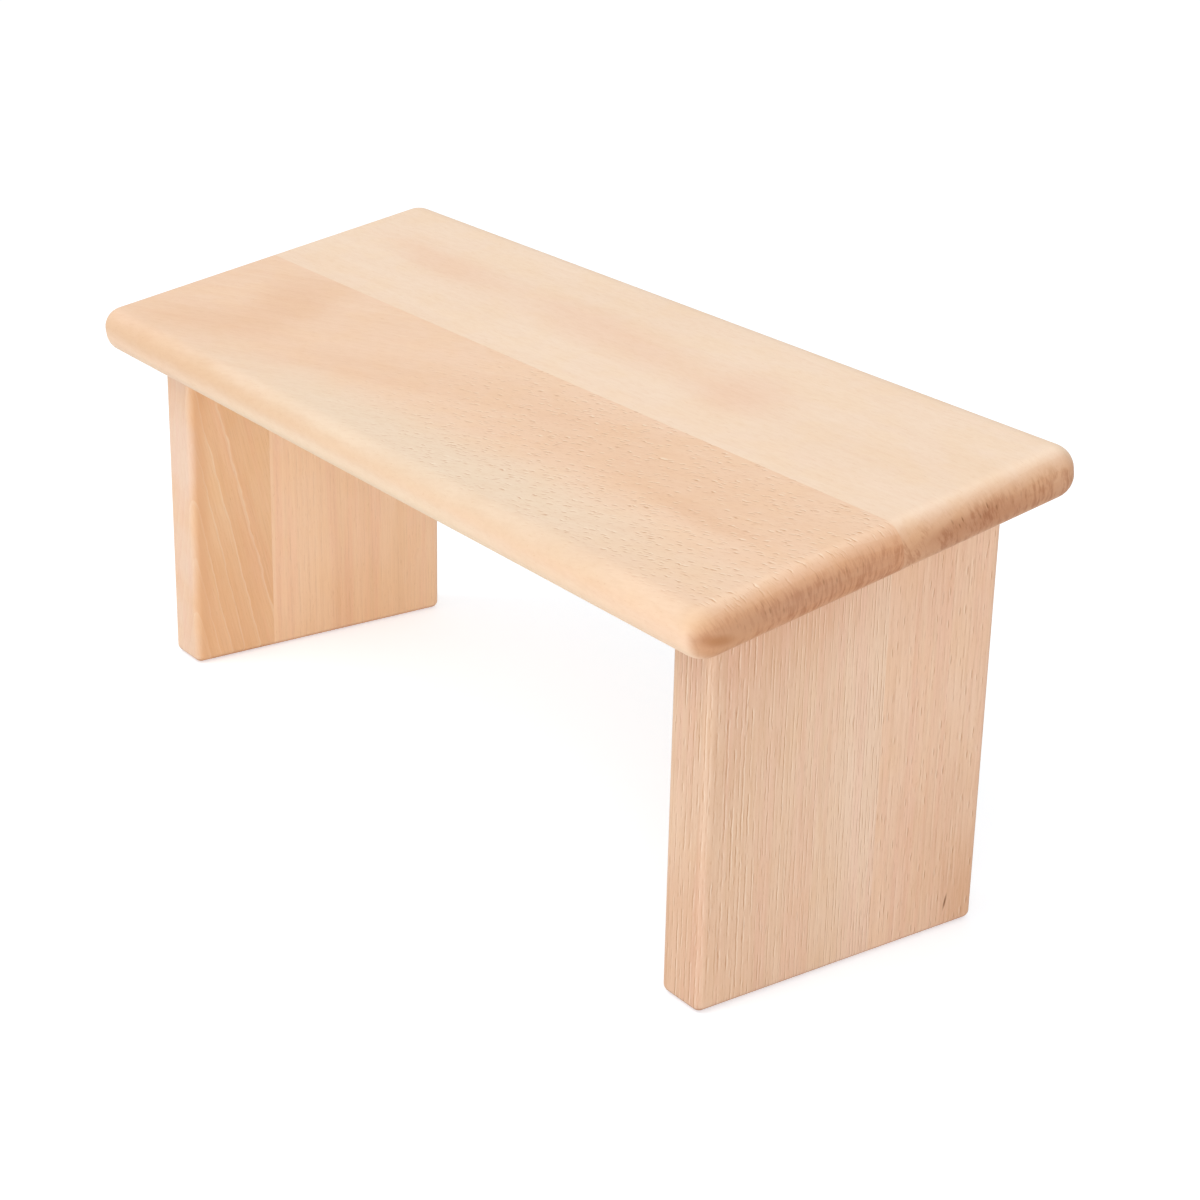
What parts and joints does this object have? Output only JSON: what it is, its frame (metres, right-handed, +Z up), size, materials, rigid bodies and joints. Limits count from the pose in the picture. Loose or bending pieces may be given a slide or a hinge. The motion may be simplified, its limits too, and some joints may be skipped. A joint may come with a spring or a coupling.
{
  "type": "folding meditation bench",
  "caption": "Low kneeling bench: a sloping wooden seat board with rounded edges on two upright leg panels that are hinged to fold flat under it.",
  "frame": {"origin": "on the floor under the middle of the bench: the bottom centre of its bounding box", "axes": "+X along the seat towards the right leg, -Y to the lower front edge where the knees go, +Z up from the floor"},
  "size_m": [0.4, 0.1572, 0.1735],
  "materials": {
    "seat_beech": "fine sanded, oiled",
    "leg_beech": "fine sanded, oiled",
    "hinge_brass": "rolled, lightly polished",
    "brass_screws": "turned"
  },
  "bodies": {
    "seat": {"seat_front_stave": "seat_beech", "seat_back_stave": "seat_beech", "left_front_hinge_seat_leaf": "hinge_brass", "left_front_hinge_pin": "hinge_brass", "left_front_hinge_seat_screws": "brass_screws", "left_back_hinge_seat_leaf": "hinge_brass", "left_back_hinge_pin": "hinge_brass", "left_back_hinge_seat_screws": "brass_screws", "right_front_hinge_seat_leaf": "hinge_brass", "right_front_hinge_pin": "hinge_brass", "right_front_hinge_seat_screws": "brass_screws", "right_back_hinge_seat_leaf": "hinge_brass", "right_back_hinge_pin": "hinge_brass", "right_back_hinge_seat_screws": "brass_screws"},
    "left_leg": {"left_leg_front_stave": "leg_beech", "left_leg_back_stave": "leg_beech", "left_front_hinge_leg_leaf": "hinge_brass", "left_front_hinge_leg_screws": "brass_screws", "left_back_hinge_leg_leaf": "hinge_brass", "left_back_hinge_leg_screws": "brass_screws"},
    "right_leg": {"right_leg_front_stave": "leg_beech", "right_leg_back_stave": "leg_beech", "right_front_hinge_leg_leaf": "hinge_brass", "right_front_hinge_leg_screws": "brass_screws", "right_back_hinge_leg_leaf": "hinge_brass", "right_back_hinge_leg_screws": "brass_screws"}
  },
  "joints": [
    {"name": "left_leg_fold", "type": "hinge", "parent": "seat", "child": "left_leg", "pos_m": [-0.15925, 0.002, 0.14079], "axis": [0, -0.9854, -0.1702], "range_deg": [0, 92]},
    {"name": "right_leg_fold", "type": "hinge", "parent": "seat", "child": "right_leg", "pos_m": [0.15925, 0.002, 0.14079], "axis": [0, 0.9854, 0.1702], "range_deg": [0, 92]}
  ]
}
